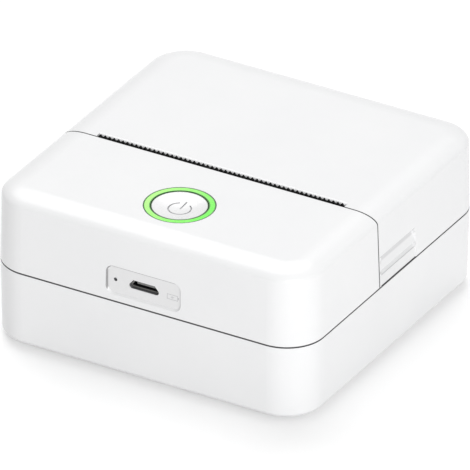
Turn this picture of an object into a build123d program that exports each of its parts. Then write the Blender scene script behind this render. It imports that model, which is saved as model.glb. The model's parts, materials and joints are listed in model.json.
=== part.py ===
from build123d import *
import os
from math import atan2, cos, degrees, hypot, pi, radians, sin, sqrt, tan

# Pocket thermal printer for 57 mm paper. X runs to the right, Y to the back, Z up.
# The origin is under the middle of the printer, on the surface that it stands on.

# Body
WIDTH = 84.0
DEPTH = 85.0
HEIGHT = 39.4
STAND = 0.8            # the feet hold the base this far off the table
SEAM_Z = 20.0          # top of the base
SEAM_GAP = 0.3         # shadow line round the body and in front of the cover
WALL = 1.8
CORNER_R = 9.6
DRAFT = 0.3            # how far each half draws in from the seam to its far end
TOP_EDGE = (6.0, 2.5)  # the soft top edge: how far it goes in, and how far down
LOW_EDGE = (3.6, 1.8)
LIP_T = 0.9
LIP_H = 1.2
INNER_FIT = 0.1        # between parts that slot into each other and stay there
AIR = 0.3              # between parts that must never touch

# Paper slot, tear bar and cover seam
SLOT_Y = -7.75         # back edge of the front casing, at the top
SEAM_LEAN = 0.8        # the seam lies this much further back at the base
SLOT_END = 9.085       # from the ends of the slot to the sides
BAR_DEEP = 1.0         # front to back
BAR_FOOT = 2.4         # the bar's underside, below the top face
BAR_TEETH = 55
BLADE_T = 0.35
TOOTH_H = 0.53
TOOTH_PROUD = 0.42     # tips above the top face
TOOTH_ROOT = 0.8       # width of a tooth at its root and at its tip, in pitches
TOOTH_TIP = 0.1
PAPER_GAP = 0.35
LEAD_IN_R = 1.0        # round of the cover's edge that the paper passes

# Platen roller, carried by the cover
SIDE_ROOM = 13.5       # from the end of the roller to the side of the body
PLATEN_R = 4.0
PLATEN_SHAFT_R = 1.5
ROOF_AIR = 0.8         # between the roller and the roof
PLATEN_SETBACK = 0.55  # from the seam to the front of the roller
BUSH_R = 2.6
EAR_T = 1.5
EAR_R = 3.8
RUN_FIT = 0.03         # radial clearance of a turning shaft

# Cover hinge and thumb notches
HINGE_R = 3.9
HINGE_INSET = 0.1
LUG_R = 3.5
LUG_INSET = 18.5       # middle of each hinge lug, from the side
LUG_W = 7.0
LUG_FIT = 0.25
PIN_R = 1.0
CHEEK_T = 2.5
NOTCH_BACK = 10.0      # rear end of the thumb notch
NOTCH_HEIGHT = 7.8     # above the bottom edge of the cover
NOTCH_CORNER = 2.0
NOTCH_LAND = 0.6       # full face left between the seam and the notch
# The notch's shape, from its top down: how far into the side, and how far below its top.
NOTCH_PROFILE = ((0.3, 0.0), (1.0, 0.9), (1.0, 1.1), (0.2, 3.3), (0.2, 3.7), (1.2, 3.95), (0.45, 4.9),
                 (0.2, 5.05))

# Gears
MODULE = 0.5
PLATEN_TEETH = 16
SMALL_TEETH = 14
LARGE_TEETH = 32
PINION_TEETH = 10
BACKLASH = 0.10
MESH_FIT = 0.03
GEAR_T = 2.3
LARGE_T = 1.5
PRESSURE_ANGLE = 20.0

# Mechanism frame and motor
PLATE_T = 1.5
PLATE_GAP = 0.7        # between the ear and the frame plate
BUSH_FIT = 0.12
MOUTH_FLARE = 3.4      # how much wider the bush slot opens at the rear
FRAME_LOW = 6.0
FRAME_AIR = 1.1        # from the roof
FRAME_REACH = 8.75     # back of the side plates, behind the slot
HORN = 2.5             # how far their upper corners stand out behind that
SPRING_WALL = 6.3      # the wall behind the head's spring, in front of the slot
GUIDE_TOP = 1.2        # the paper guide's top edge and its foot, behind the slot
GUIDE_FOOT = 7.2
MOTOR_R = 7.5
MOTOR_LEN = 11.0
MOTOR_DIRECTION = 230.0
SHAFT_R = 0.75
AXLE_R = 1.0
AXLE_HEAD = (1.9, 0.35)    # radius and thickness

# Print head
NIP_GAP = 0.08
CERAMIC_T = 0.8
CERAMIC_H = 4.8
HEAD_T = 2.0
HEAD_OVER = 0.5        # how far the head reaches past the roller's ends
HEAD_PIVOT_DROP = 5.2  # from the roller's axis down to the head's pivot
HEAD_BARREL_R = 1.9
HEAD_BARREL_L = 6.0
HEAD_BARREL_OUT = 1.2
LEAF_T = 0.3
LEAF_HALF = 20.0
TONGUE_X = (7.0, 15.0)     # inner and outer side of each spring tongue
TONGUE_DROP = 3.5
TONGUE_FLAT = 0.8
LEAF_INSET = (1.4, 1.6)    # above the pivot, and below the roof
FLEX_T = 0.2
FLEX_HALF = 15.0
FLEX_RISE = 1.2            # its upper end, above the pivot
FLEX_BEND = 1.4
FLEX_SOCKET = (34.0, 3.4, 2.0)

# Paper tray
ROLL_AIR = 0.5
TRAY_T = 1.2
DECK_DROP = 0.2        # the tray's deck, below the seam
DECK_AIR = 1.4         # from the deck to the side walls
SENSOR = (6.0, 2.8, 2.4)
SENSOR_SINK = 1.2      # how far the sensor sits into the guide
SENSOR_RISE = 2.6

# Button on the top
BUTTON_BEFORE = 18.05  # middle of the button, in front of the slot
RING_OUT = 8.35
RING_IN = 6.75
CAP_R = 6.5
CAP_SINK = 0.15        # the cap's rim, below the top face
DISH_R = 6.3
DISH_DEPTH = 0.95
COLLAR = (0.5, 1.0)    # the cap's collar: past the ring's bore, and its thickness
STEM_R = 2.2
MARK_DEPTH = 0.15
MARK_R = 2.65          # the standby sign's ring, its stroke, and the gap that it opens to
MARK_LINE = 0.32
MARK_GAP = 2.6
MARK_BAR = (0.1, 3.3)
RING_FIT = 0.12
RING_SINK = 0.05
RING_FLANGE = (1.1, 0.9)
BUTTON_BOARD = (2.4, 5.5)  # past its screws, and half its depth
BOARD_DROP = 7.4       # from the roof down to the underside of the button board
SWITCH = (6.0, 2.0)
SWITCH_WELL = (1.25, 1.2)
PLUNGER_R = 1.2
PLUNGER_TOP = 2.8
PLUNGER_LOW = 1.3
RING_LAMP = (2.0, 1.2, 0.8)
RING_LAMP_SPOT = (7.4, 3.2)
LEAD_BEFORE = 2.0      # the lead between the boards, in front of the button's middle
LEAD = (8.0, 0.2)
LEAD_SOCKET = (10.0, 3.0, 1.5)

# Front port
PANEL = (20.0, 7.5)
PANEL_DEPTH = 0.55
PANEL_CORNER = 2.0
PANEL_SLOPE = 36.0     # degrees that the panel's rim slopes
PORT = (7.5, 1.95)
PORT_TOP = 5.5         # width of its upper side
PORT_SINK = 0.8        # the metal mouth, behind the panel
PORT_BACK = 0.6
PORT_LEN = 5.6
PORT_FIT = 0.15
PORT_T = 0.3
TONGUE = (4.8, 0.55)
LAMP_X = -7.55
LAMP_R = 0.42
LAMP_SINK = 0.6
LAMP_BACK = 6.2        # the charge lamp, behind the front face
LAMP_BODY = (2.0, 1.2, 2.0)

# Boards, battery, feet and screws
BOARD_T = 1.2
BOARD_AIR = 1.1        # from the front wall
CHIP = (9.0, 6.0, 1.0)
CHIP_PLACE = (9.0, 7.0)        # from the board's right end, and from the front face
CELL_SOCKET = (5.0, 4.0, 3.5)
CELL_SOCKET_PLACE = (0.5, 8.3)
BOARD_LOW = 4.2        # top of the main board, below the middle of the room over the seam
BOARD_INSET = 12.0     # from the sides
BOARD_BEFORE = 13.25   # back edge of the main board, in front of the slot
BATTERY_INSET = 18.0
BATTERY_H = 10.0
BATTERY_GAP = 1.1
BATTERY_ROUND = 2.0
RIB_END = 5.0
FOOT_R = 4.0
FOOT_INSET = (15.0, 8.5)   # from the sides, and from the front and back
FOOT_SINK = 0.8
SCREW_R = 1.0
HEAD_R = 1.9
HEAD_H = 1.3
THREAD_FIT = 0.02
BOSS_R = 2.6
CASE_THREAD = 9.0
CASE_SINK = 3.4        # the case screws' seats, above the floor
CASE_SCREW_L = 16.0
CASE_SCREW_X = (7.0, 6.0)      # the front and the rear ones, from the sides
CASE_SCREW_Y = (11.0, 10.25)   # from the front face, and in front of the slot
BOARD_SCREW_L = 6.0
BOARD_SCREW_IN = 3.0           # from the board's ends and from its back edge
BOARD_SCREW_Y = 6.1            # the front ones, from the front face
TRAY_SCREW_L = 6.0
TRAY_SCREW_X = 7.5
TRAY_SCREW_Y = (10.0, 11.0)    # in front of and behind the roll's axis
FRAME_SCREW_L = 4.0
FRAME_SCREW_X = 2.2            # outside the side plates
FRAME_SCREW_Y = (4.25, 3.75)   # in front of and behind the slot
BUTTON_SCREW_L = 5.0
BOSS_MEET = 14.0
BOSS_GAP = 0.5         # between the button's bosses and the ring

# Places worked out from the sizes above
HALF_X = WIDTH / 2
HALF_Y = DEPTH / 2
BOARD_HALF = HALF_X - BOARD_INSET
BOARD_BACK = SLOT_Y - BOARD_BEFORE
BUTTON_Y = SLOT_Y - BUTTON_BEFORE
SLOT_HALF = HALF_X - SLOT_END
BAR_HALF = SLOT_HALF - AIR
LUG_X = HALF_X - LUG_INSET
BATTERY_HALF = HALF_X - BATTERY_INSET
CASE_SCREWS = ((HALF_X - CASE_SCREW_X[0], -HALF_Y + CASE_SCREW_Y[0]),
               (HALF_X - CASE_SCREW_X[1], SLOT_Y - CASE_SCREW_Y[1]))
BOARD_SCREWS = ((BOARD_HALF - BOARD_SCREW_IN, -HALF_Y + BOARD_SCREW_Y),
                (BOARD_HALF - BOARD_SCREW_IN, BOARD_BACK - BOARD_SCREW_IN))
UPPER_LOW = SEAM_Z + SEAM_GAP
ROOF_Z = HEIGHT - WALL
BOARD_TOP = (SEAM_Z + ROOF_Z) / 2 - BOARD_LOW
FLOOR_Z = STAND + WALL
CASE_SEAT = FLOOR_Z + CASE_SINK
HINGE_Y = HALF_Y - HINGE_R - HINGE_INSET
HINGE_Z = UPPER_LOW + HINGE_R
PLATEN_Y = SLOT_Y + PLATEN_SETBACK + PLATEN_R
PLATEN_Z = ROOF_Z - ROOF_AIR - PLATEN_R
COVER_FRONT = SLOT_Y + BAR_DEEP + PAPER_GAP
RUBBER_END = HALF_X - SIDE_ROOM
HEAD_HALF = RUBBER_END + HEAD_OVER
EAR_X = RUBBER_END + ROOF_AIR
PLATE_X = EAR_X + EAR_T + PLATE_GAP
GEAR_X = PLATE_X + PLATE_T + ROOF_AIR
LARGE_X = GEAR_X + GEAR_T + AIR
HEAD_PIVOT_Z = PLATEN_Z - HEAD_PIVOT_DROP
HEAD_Y = SLOT_Y + PLATEN_SETBACK - NIP_GAP - CERAMIC_T
PIVOT_Y = HEAD_Y - HEAD_T - HEAD_BARREL_R + AIR
BAY_FRONT = SLOT_Y + FRAME_REACH + AIR
BAY_BACK = HINGE_Y - LUG_R - AIR
TRAY_Y = (BAY_FRONT + BAY_BACK) / 2
TRAY_R = (BAY_BACK - BAY_FRONT) / 2 - TRAY_T
ROLL_R = TRAY_R - ROLL_AIR
TRAY_Z = FLOOR_Z + AIR + TRAY_T + TRAY_R
DECK_Z = SEAM_Z - DECK_DROP
TRAY_SCREWS = ((HALF_X - TRAY_SCREW_X, TRAY_Y - TRAY_SCREW_Y[0]),
               (HALF_X - TRAY_SCREW_X, TRAY_Y + TRAY_SCREW_Y[1]))
FRAME_X = PLATE_X + PLATE_T + FRAME_SCREW_X
FRAME_SCREWS = ((FRAME_X, SLOT_Y - FRAME_SCREW_Y[0]), (FRAME_X, SLOT_Y + FRAME_SCREW_Y[1]))


def block(x0, x1, y0, y1, z0, z1):
    """A box given by its limits."""
    middle = Pos((x0 + x1) / 2, (y0 + y1) / 2, (z0 + z1) / 2)
    return middle * Box(x1 - x0, y1 - y0, z1 - z0)


def post(x, y, z0, z1, r):
    """An upright cylinder between two heights."""
    return Pos(x, y, (z0 + z1) / 2) * Cylinder(r, z1 - z0)


def rod(x0, x1, y, z, r):
    """A cylinder lying along X."""
    return Pos((x0 + x1) / 2, y, z) * Rot(0, 90, 0) * Cylinder(r, abs(x1 - x0))


def tube(x0, x1, y, z, outer, inner):
    """A bush lying along X."""
    return rod(x0, x1, y, z, outer) - rod(x0, x1, y, z, inner)


def side_slab(points, x0, x1):
    """An outline drawn in Y and Z, made solid between two places on X."""
    face = Plane.YZ.offset(x0) * make_face(Polyline(*points, close=True))
    return extrude(face, amount=x1 - x0)


def both_sides(shape):
    """A piece and its mirror image across the middle."""
    return shape + mirror(shape, about=Plane.YZ)


def group(solids):
    """Separate solids that share one node."""
    return Compound(children=list(solids))


def edge_section(reach, low, high, low_in, high_in, low_edge, high_edge):
    """Section of a wall block from its corner's centre out to its drafted, rounded face."""
    low_x, low_z = low_edge
    high_x, high_z = high_edge
    foot = (reach - low_in, low + low_z)
    head = (reach - high_in, high - high_z)
    lines = [Line((0, low), (foot[0] - low_x, low))]
    if low_x:
        lines.append(EllipticalCenterArc((foot[0] - low_x, foot[1]), low_x, low_z, 270, arc_size=90))
    lines.append(Line(foot, head))
    if high_x:
        lines.append(EllipticalCenterArc((head[0] - high_x, head[1]), high_x, high_z, 0, arc_size=90))
    lines.append(Line((head[0] - high_x, high), (0, high)))
    lines.append(Line((0, high), (0, low)))
    return Plane.XZ * make_face(lines)


def rounded_block(inset, low, high, low_in, high_in, low_edge=(0, 0), high_edge=(0, 0)):
    """The body's plan, drawn in by an inset, between two heights."""
    radius = CORNER_R - inset
    mid_x = HALF_X - CORNER_R
    mid_y = HALF_Y - CORNER_R
    section = edge_section(radius, low, high, low_in, high_in, low_edge, high_edge)
    side = extrude(section, amount=mid_y, both=True)
    end = extrude(section, amount=mid_x, both=True)
    corner = revolve(section, axis=Axis.Z, revolution_arc=90)
    pieces = [Pos(mid_x, 0, 0) * side, Pos(-mid_x, 0, 0) * Rot(0, 0, 180) * side,
              Pos(0, mid_y, 0) * Rot(0, 0, 90) * end, Pos(0, -mid_y, 0) * Rot(0, 0, 270) * end]
    places = ((mid_x, mid_y), (-mid_x, mid_y), (-mid_x, -mid_y), (mid_x, -mid_y))
    pieces += [Pos(x, y, 0) * Rot(0, 0, 90 * quarter) * corner for quarter, (x, y) in enumerate(places)]
    return block(-mid_x, mid_x, -mid_y, mid_y, low, high) + pieces


def seam_y(z):
    """Where the leaning seam of the front casing lies at a height."""
    return SLOT_Y + SEAM_LEAN * (HEIGHT - z) / (HEIGHT - UPPER_LOW)


def behind_seam(setback):
    """Everything behind the seam, from a distance behind it."""
    low = SEAM_Z - WALL
    high = HEIGHT + WALL
    points = ((seam_y(low) + setback, low), (seam_y(high) + setback, high), (DEPTH, high), (DEPTH, low))
    return side_slab(points, -WIDTH, WIDTH)


def upper_shell():
    """The whole upper half, before it is parted into front casing and cover."""
    outer = rounded_block(0, UPPER_LOW, HEIGHT, 0, DRAFT, high_edge=TOP_EDGE)
    inner_edge = (TOP_EDGE[0] - WALL / 2, TOP_EDGE[1] - WALL / 2)
    return outer - rounded_block(WALL, SEAM_Z, ROOF_Z, 0, DRAFT, high_edge=inner_edge)


def screw(x, y, z_seat, length, up):
    """A pan head screw: its head lies below the seat when it points up, and above it otherwise."""
    way = 1 if up else -1
    head = post(x, y, *sorted((z_seat, z_seat - way * HEAD_H)), HEAD_R)
    shank = post(x, y, *sorted((z_seat, z_seat + way * length)), SCREW_R)
    slot_z = z_seat - way * HEAD_H
    slot_end = z_seat - way * HEAD_H / 2
    low, high = sorted((slot_z, slot_end))
    arm = HEAD_R * 0.65
    cross = block(x - arm, x + arm, y - SCREW_R / 4, y + SCREW_R / 4, low, high)
    cross += block(x - SCREW_R / 4, x + SCREW_R / 4, y - arm, y + arm, low, high)
    return head + shank - cross


def mirrored_spots(spots):
    """Each spot on the right, and its twin on the left."""
    return [(side * x, y) for x, y in spots for side in (1, -1)]


# Base

def front_lip():
    """The tongue that locates the front casing on the base."""
    root = rounded_block(WALL - AIR, SEAM_Z - 2 * LIP_H, SEAM_Z, 0, 0)
    root -= rounded_block(WALL + LIP_T, SEAM_Z - 2 * LIP_H, SEAM_Z, 0, 0)
    tongue = rounded_block(WALL + INNER_FIT, SEAM_Z - LIP_H, SEAM_Z + LIP_H, 0, 0)
    tongue -= rounded_block(WALL + LIP_T, SEAM_Z - LIP_H, SEAM_Z + LIP_H, 0, 0)
    return (root + tongue) - block(-WIDTH, WIDTH, SLOT_Y - LIP_T, DEPTH, 0, HEIGHT)


def hinge_lug():
    """One knuckle of the cover hinge, standing on the base's back wall."""
    x0 = LUG_X - LUG_W / 2
    x1 = LUG_X + LUG_W / 2
    lug = rod(x0, x1, HINGE_Y, HINGE_Z, LUG_R)
    lug += block(x0, x1, HINGE_Y - LUG_R + AIR, HINGE_Y + LUG_R, SEAM_Z - LUG_R, HINGE_Z)
    lug += block(x0, x1, HINGE_Y - LUG_R + AIR, HALF_Y - WALL + AIR, SEAM_Z - 3 * LUG_R, SEAM_Z - LUG_R)
    return lug - rod(x0, x1, HINGE_Y, HINGE_Z, PIN_R + RUN_FIT)


def base_shell():
    shell = rounded_block(0, STAND, SEAM_Z, DRAFT, 0, low_edge=LOW_EDGE)
    inner_edge = (LOW_EDGE[0] - WALL, LOW_EDGE[1] - WALL / 2)
    shell -= rounded_block(WALL, FLOOR_Z, SEAM_Z + WALL, DRAFT, 0, low_edge=inner_edge)
    added = [front_lip(), both_sides(hinge_lug()), battery_ribs()]
    cut = []
    for x, y in mirrored_spots(CASE_SCREWS):
        added.append(post(x, y, FLOOR_Z - AIR, BOSS_MEET, BOSS_R))
        cut.append(post(x, y, 0, BOSS_MEET, SCREW_R + INNER_FIT))
        cut.append(post(x, y, 0, CASE_SEAT, HEAD_R + INNER_FIT))
    for x, y in mirrored_spots(BOARD_SCREWS):
        added.append(post(x, y, FLOOR_Z - AIR, BOARD_TOP - BOARD_T, 2 * SCREW_R))
        cut.append(post(x, y, FLOOR_Z + WALL, BOARD_TOP, SCREW_R + THREAD_FIT))
    for x, y in mirrored_spots(TRAY_SCREWS):
        added.append(post(x, y, FLOOR_Z - AIR, DECK_Z - TRAY_T, 2 * SCREW_R))
        cut.append(post(x, y, FLOOR_Z + WALL, DECK_Z, SCREW_R + THREAD_FIT))
    for x, y in mirrored_spots(FRAME_SCREWS):
        added.append(post(x, y, FLOOR_Z - AIR, FRAME_LOW, 1.7 * SCREW_R))
        cut.append(post(x, y, FLOOR_Z - AIR, FRAME_LOW, SCREW_R + THREAD_FIT))
    for x, y in foot_spots():
        cut.append(post(x, y, 0, STAND + FOOT_SINK, FOOT_R + INNER_FIT))
    return shell + added - cut


def foot_spots():
    """Where the four feet stand: front right, front left, rear right and rear left."""
    x = HALF_X - FOOT_INSET[0]
    y = HALF_Y - FOOT_INSET[1]
    return (x, -y), (-x, -y), (x, y), (-x, y)


def battery_ribs():
    """Low ribs on the floor that keep the battery in place."""
    x0 = BATTERY_HALF + INNER_FIT
    y0 = battery_front() - INNER_FIT
    y1 = battery_back() + INNER_FIT
    top = FLOOR_Z + 3 * LIP_T
    ribs = block(-BATTERY_HALF, BATTERY_HALF, y1, y1 + LIP_T / 2, FLOOR_Z - AIR, top)
    end = block(x0, x0 + LIP_T / 2, y0 + RIB_END, y1 - RIB_END, FLOOR_Z - AIR, top)
    return ribs + both_sides(end)


def rubber_foot(spot):
    x, y = foot_spots()[spot]
    foot = post(x, y, 0, STAND + FOOT_SINK, FOOT_R)
    low_edge = foot.edges().sort_by(Axis.Z)[0]
    return chamfer(low_edge, STAND / 4)


# Front casing, with its port and its button opening

def port_panel(depth):
    """The shallow rounded panel round the port, sunk from the front face, with a sloping rim."""
    wide, tall = PANEL
    inset = depth * tan(radians(PANEL_SLOPE))
    outline = RectangleRounded(wide - 2 * inset, tall - 2 * inset, PANEL_CORNER - inset)
    face = Plane.XZ * (Pos(0, port_z()) * outline)
    return Pos(0, -HALF_Y + depth, 0) * extrude(face, amount=WALL, taper=-PANEL_SLOPE)


def port_z():
    return BOARD_TOP + PORT[1] / 2 + INNER_FIT / 2


def port_outline(grow):
    """The mouth of the small charging port: wide below, narrower above, its lower corners cut."""
    wide, tall = PORT
    low = port_z() - tall / 2
    cut = tall / 5
    right = ((wide / 2 - cut, low), (wide / 2, low + cut), (wide / 2, low + 2 * cut),
             (PORT_TOP / 2, low + tall))
    left = [(-x, z) for x, z in reversed(right)]
    mouth = make_face(Polyline(*right, *left, close=True))
    if grow:
        mouth = offset(mouth, grow, kind=Kind.INTERSECTION)
    return Plane.XZ * mouth


def front_casing():
    casing = upper_shell() - behind_seam(0)
    casing -= block(-SLOT_HALF, SLOT_HALF, SLOT_Y, 0, SEAM_Z, HEIGHT + WALL)
    wide, tall = PANEL
    backing = block(-wide / 2 - WALL, wide / 2 + WALL, -HALF_Y + WALL, -HALF_Y + WALL + PANEL_DEPTH,
                    SEAM_Z + LIP_H + AIR, port_z() + tall / 2 + WALL)
    added = [backing]
    cut = [port_panel(PANEL_DEPTH), post(0, BUTTON_Y, ROOF_Z - WALL, HEIGHT, RING_OUT + RING_FIT),
           Pos(0, -HALF_Y + 2 * WALL, 0) * extrude(port_outline(PORT_FIT), amount=3 * WALL),
           Pos(LAMP_X, -HALF_Y, port_z()) * Rot(90, 0, 0) * Cylinder(LAMP_R + INNER_FIT / 2, 6 * WALL)]
    for x, y in mirrored_spots(CASE_SCREWS):
        added.append(post(x, y, BOSS_MEET, ROOF_Z + AIR, BOSS_R))
        cut.append(post(x, y, BOSS_MEET, BOSS_MEET + CASE_THREAD, SCREW_R + THREAD_FIT))
    for x, y in mirrored_spots(((button_boss_x(), BUTTON_Y),)):
        added.append(post(x, y, button_board_z() + BOARD_T, ROOF_Z + AIR, 1.9 * SCREW_R))
        cut.append(post(x, y, button_board_z(), ROOF_Z - AIR, SCREW_R + THREAD_FIT))
    return casing + added - cut


def tear_bar():
    """The black bar in the paper slot: a body below the top face, and a toothed blade at its back."""
    pitch = 2 * BAR_HALF / BAR_TEETH
    tip = HEIGHT + TOOTH_PROUD
    valley = tip - TOOTH_H
    points = [(-BAR_HALF, valley - TOOTH_H)]
    for tooth in range(BAR_TEETH):
        middle = -BAR_HALF + (tooth + 0.5) * pitch
        points += [(middle - pitch * TOOTH_ROOT / 2, valley), (middle - pitch * TOOTH_TIP / 2, tip),
                   (middle + pitch * TOOTH_TIP / 2, tip), (middle + pitch * TOOTH_ROOT / 2, valley)]
    points.append((BAR_HALF, valley - TOOTH_H))
    blade = Plane.XZ * make_face(Polyline(*points, close=True))
    body = block(-BAR_HALF, BAR_HALF, SLOT_Y, SLOT_Y + BAR_DEEP, HEIGHT - BAR_FOOT, valley - 2 * INNER_FIT)
    return body + Pos(0, SLOT_Y + BAR_DEEP, 0) * extrude(blade, amount=BLADE_T)


# Rear cover

def notch_front():
    return seam_y(UPPER_LOW) + SEAM_GAP + NOTCH_LAND


def notch_cutter():
    """The thumb notch on the right: a scoop, a grip lip and the flat beneath it."""
    z1 = UPPER_LOW + NOTCH_HEIGHT
    points = [(HALF_X - deep, z1 - down) for deep, down in NOTCH_PROFILE]
    low = UPPER_LOW - WALL
    points += [(points[-1][0], low), (HALF_X + WALL, low), (HALF_X + WALL, z1)]
    profile = Plane.XZ.offset(-notch_front()) * make_face(Polyline(*points, close=True))
    cutter = extrude(profile, amount=-(NOTCH_BACK - notch_front()))
    outline = block(HALF_X - WALL, HALF_X + 2 * WALL, notch_front(), NOTCH_BACK, low - WALL, z1)
    corner = outline.edges().filter_by(Axis.X).sort_by(Axis.Y)[-2:].sort_by(Axis.Z)[-1]
    return cutter & fillet(corner, NOTCH_CORNER)


def notch_backing():
    """Extra wall behind the thumb notch."""
    deep = max(inward for inward, _ in NOTCH_PROFILE)
    return block(HALF_X - WALL - deep, HALF_X - WALL + AIR, seam_y(UPPER_LOW) + SEAM_GAP,
                 NOTCH_BACK + WALL, UPPER_LOW, UPPER_LOW + NOTCH_HEIGHT + WALL / 2)


def hinge_slot():
    """The opening in the cover's back edge that one hinge lug turns in."""
    x0 = LUG_X - LUG_W / 2 - LUG_FIT
    x1 = LUG_X + LUG_W / 2 + LUG_FIT
    slot = rod(x0, x1, HINGE_Y, HINGE_Z, HINGE_R + LUG_FIT)
    slot += block(x0, x1, HINGE_Y - LUG_R, HALF_Y + WALL, SEAM_Z - WALL, HINGE_Z + LUG_R + LUG_FIT)
    return slot


def hinge_boss():
    """The thick part of the cover that holds the hinge pin on both sides of a lug."""
    reach = LUG_W / 2 + LUG_FIT + CHEEK_T
    boss = rod(LUG_X - reach, LUG_X + reach, HINGE_Y, HINGE_Z, HINGE_R)
    boss += block(LUG_X - reach, LUG_X + reach, HINGE_Y, HALF_Y - WALL, HINGE_Z, HINGE_Z + 2 * HINGE_R)
    return boss


def platen_ear():
    """The cover's bearing plate beside the roller."""
    ear = rod(EAR_X, EAR_X + EAR_T, PLATEN_Y, PLATEN_Z, EAR_R)
    ear += block(EAR_X, EAR_X + EAR_T, COVER_FRONT, PLATEN_Y + EAR_R, PLATEN_Z, ROOF_Z + AIR)
    return ear - rod(EAR_X, EAR_X + EAR_T, PLATEN_Y, PLATEN_Z, BUSH_R + INNER_FIT / 10)


def roll_guide():
    """A rib inside the cover that keeps the paper roll in line."""
    x0 = RUBBER_END + 2 * AIR
    low = DECK_Z + 3 * WALL
    points = ((TRAY_Y - ROLL_R * 0.75, ROOF_Z + AIR), (TRAY_Y - ROLL_R * 0.5, low),
              (TRAY_Y + ROLL_R * 0.5, low), (TRAY_Y + ROLL_R * 0.75, ROOF_Z + AIR))
    return side_slab(points, x0, x0 + TRAY_T)


def slot_cutter():
    """Clears the cover behind the bar, and rounds the edge that the paper passes."""
    back = COVER_FRONT + LEAD_IN_R
    low = HEIGHT - LEAD_IN_R
    lead_in = block(-SLOT_HALF, SLOT_HALF, COVER_FRONT, back, low, HEIGHT + WALL)
    lead_in -= rod(-SLOT_HALF, SLOT_HALF, back, low, LEAD_IN_R)
    return lead_in + block(-SLOT_HALF, SLOT_HALF, SLOT_Y - WALL, COVER_FRONT, SEAM_Z, HEIGHT + WALL)


def rear_cover():
    cover = upper_shell() & behind_seam(SEAM_GAP)
    cover -= slot_cutter()
    barrel_room = block(-WIDTH, WIDTH, HINGE_Y, DEPTH, SEAM_Z, HINGE_Z)
    cover -= barrel_room - rod(-WIDTH, WIDTH, HINGE_Y, HINGE_Z, HINGE_R)
    reach = LUG_W / 2 + LUG_FIT + CHEEK_T
    pin_bore = rod(LUG_X - reach, LUG_X + reach, HINGE_Y, HINGE_Z, PIN_R + THREAD_FIT / 2)
    added = [both_sides(notch_backing()), both_sides(hinge_boss()), both_sides(platen_ear()),
             both_sides(roll_guide())]
    return cover + added - [both_sides(notch_cutter()), both_sides(hinge_slot()), both_sides(pin_bore)]


def hinge_pin(side):
    reach = LUG_W / 2 + LUG_FIT + CHEEK_T - INNER_FIT
    return rod(side * LUG_X - reach, side * LUG_X + reach, HINGE_Y, HINGE_Z, PIN_R)


# Platen roller set

def platen_bush(side):
    """A stepped bush: held in the cover's ear, resting in the frame's open slot."""
    inner = EAR_X - AIR
    outer = PLATE_X + PLATE_T + AIR
    bush = tube(inner, outer, PLATEN_Y, PLATEN_Z, BUSH_R, PLATEN_SHAFT_R + RUN_FIT)
    if side < 0:
        bush = mirror(bush, about=Plane.YZ)
    return bush


def platen_shaft():
    return rod(-GEAR_X - GEAR_T, PLATE_X + PLATE_T + ROOF_AIR, PLATEN_Y, PLATEN_Z, PLATEN_SHAFT_R)


def platen_rubber():
    return tube(-RUBBER_END, RUBBER_END, PLATEN_Y, PLATEN_Z, PLATEN_R, PLATEN_SHAFT_R)


# Gears

def flank_angle(radius, teeth):
    """Half the angle that a tooth takes up at a radius, on an involute flank."""
    pitch_r = MODULE * teeth / 2
    base_r = pitch_r * cos(radians(PRESSURE_ANGLE))
    half_pitch = (pi * MODULE / 2 - BACKLASH) / 2 / pitch_r
    def spread(r):
        turn = sqrt(max((r / base_r) ** 2 - 1, 0))
        return turn - atan2(turn, 1)
    return half_pitch + spread(pitch_r) - spread(max(radius, base_r))


def gear_face(teeth, turn):
    """A spur gear outline; turn is where its first tooth points, in degrees."""
    pitch_r = MODULE * teeth / 2
    root_r = pitch_r - 1.2 * MODULE
    tip_r = pitch_r + 0.85 * MODULE
    radii = (root_r, pitch_r - 0.5 * MODULE, pitch_r, pitch_r + 0.45 * MODULE, tip_r)
    points = []
    for tooth in range(teeth):
        middle = radians(turn) + 2 * pi * tooth / teeth
        rise = [(r, middle - flank_angle(r, teeth)) for r in radii]
        fall = [(r, middle + flank_angle(r, teeth)) for r in reversed(radii)]
        points += [(r * cos(angle), r * sin(angle)) for r, angle in rise + fall]
    return make_face(Polyline(*points, close=True))


def gear(teeth, turn, x0, thickness, y, z):
    """A spur gear on an axis along X, its face at x0 and its body towards +X."""
    face = Plane(origin=(x0, y, z), x_dir=(0, 1, 0), z_dir=(1, 0, 0)) * gear_face(teeth, turn)
    return extrude(face, amount=thickness)


def mesh_distance(teeth_a, teeth_b):
    return MODULE * (teeth_a + teeth_b) / 2 + MESH_FIT


def lift_direction():
    """The way the roller leaves when the cover opens, as a unit step in Y and Z."""
    dy = PLATEN_Y - HINGE_Y
    dz = PLATEN_Z - HINGE_Z
    reach = hypot(dy, dz)
    return dz / reach, -dy / reach


def compound_axis():
    step_y, step_z = lift_direction()
    gap = mesh_distance(PLATEN_TEETH, SMALL_TEETH)
    return PLATEN_Y - gap * step_y, PLATEN_Z - gap * step_z


def motor_axis():
    y, z = compound_axis()
    gap = mesh_distance(LARGE_TEETH, PINION_TEETH)
    angle = radians(MOTOR_DIRECTION)
    return y + gap * cos(angle), z + gap * sin(angle)


def lift_angle():
    step_y, step_z = lift_direction()
    return degrees(atan2(step_z, step_y))


def platen_gear():
    """Its gap faces the tooth of the small gear below it."""
    turn = lift_angle() + 180 + 180 / PLATEN_TEETH
    wheel = gear(PLATEN_TEETH, turn, -GEAR_X - GEAR_T, GEAR_T, PLATEN_Y, PLATEN_Z)
    return wheel - rod(-GEAR_X - GEAR_T, -GEAR_X, PLATEN_Y, PLATEN_Z, PLATEN_SHAFT_R)


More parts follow.
